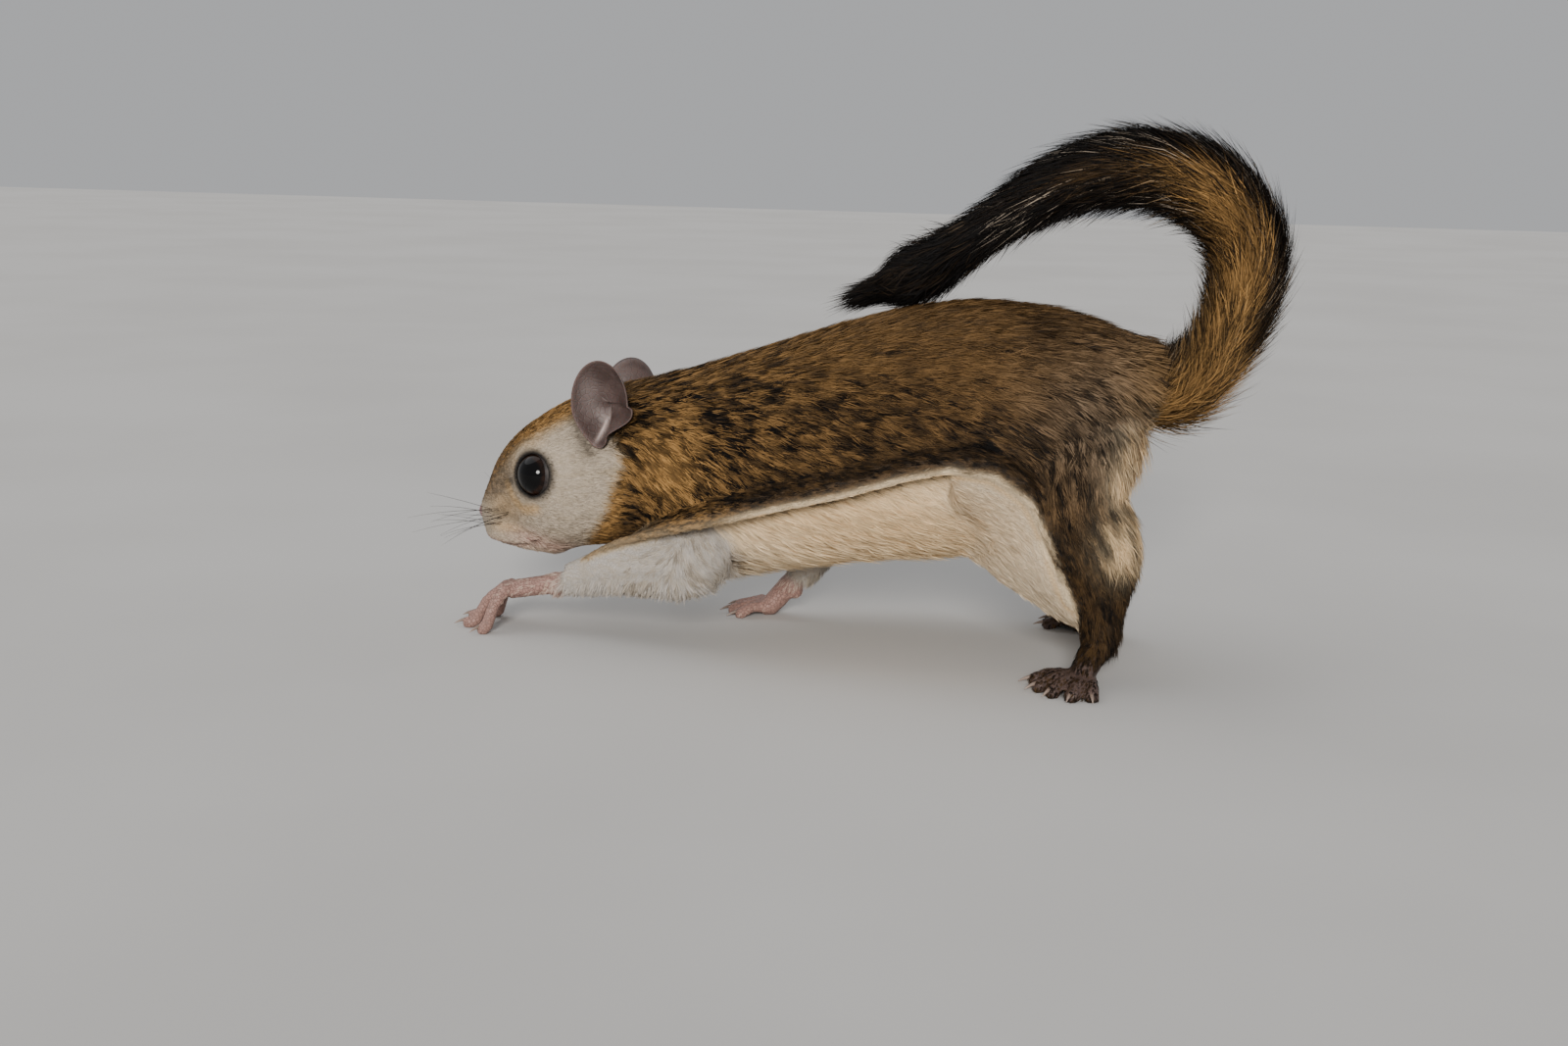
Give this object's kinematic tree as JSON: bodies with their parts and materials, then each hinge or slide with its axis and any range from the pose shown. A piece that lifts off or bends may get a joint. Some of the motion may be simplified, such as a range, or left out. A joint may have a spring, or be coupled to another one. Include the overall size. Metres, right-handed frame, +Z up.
{
  "type": "flying squirrel",
  "caption": "Life-size flying squirrel on all fours, reaching forward, with big eyes, cupped ears, folded gliding membranes and a flat bushy tail curled over its back.",
  "frame": {"origin": "middle of the animal's bounding box in plan, on the floor it stands on", "axes": "+X from the nose towards the rump, along the body, so the animal faces -X; +Y towards its right side; +Z up"},
  "size_m": [0.1942, 0.0778, 0.1236],
  "materials": {
    "back_coat": "short dense coat, streaked tawny and black",
    "face_coat": "very short pale grey-beige coat, ochre on the crown",
    "belly_coat": "soft cream-white coat",
    "leg_coat": "short dark brown coat",
    "membrane_coat": "dark coat above, buff rim, cream coat below",
    "tail_coat": "long flat brush, golden ochre below, black above and at the tip",
    "ear_skin": "thin, nearly bare grey-mauve skin",
    "nose_skin": "moist bare skin",
    "hand_skin": "bare pink-brown skin",
    "foot_skin": "grey-brown skin with fine hair",
    "eye": "wet, glossy, almost black",
    "claw": "smooth horn"
  },
  "bodies": {
    "root": {"head": "face_coat", "nose": "nose_skin", "neck": "back_coat", "chest": "back_coat", "loin": "back_coat", "rump": "back_coat", "eye_left": "eye", "ear_left": "ear_skin", "upper_arm_left": "leg_coat", "forearm_left": "belly_coat", "forefoot_left": "hand_skin", "claw_fore_left_1": "claw", "claw_fore_left_2": "claw", "claw_fore_left_3": "claw", "claw_fore_left_4": "claw", "thigh_left": "back_coat", "shank_left": "leg_coat", "hindfoot_left": "foot_skin", "claw_hind_left_1": "claw", "claw_hind_left_2": "claw", "claw_hind_left_3": "claw", "claw_hind_left_4": "claw", "claw_hind_left_5": "claw", "membrane_left": "membrane_coat", "eye_right": "eye", "ear_right": "ear_skin", "upper_arm_right": "leg_coat", "forearm_right": "belly_coat", "forefoot_right": "hand_skin", "claw_fore_right_1": "claw", "claw_fore_right_2": "claw", "claw_fore_right_3": "claw", "claw_fore_right_4": "claw", "thigh_right": "back_coat", "shank_right": "leg_coat", "hindfoot_right": "foot_skin", "claw_hind_right_1": "claw", "claw_hind_right_2": "claw", "claw_hind_right_3": "claw", "claw_hind_right_4": "claw", "claw_hind_right_5": "claw", "membrane_right": "membrane_coat", "tail_base": "tail_coat", "tail_rise": "tail_coat", "tail_bend": "tail_coat", "tail_crown": "tail_coat", "tail_fall": "tail_coat", "tail_tip": "tail_coat"}
  },
  "joints": []
}
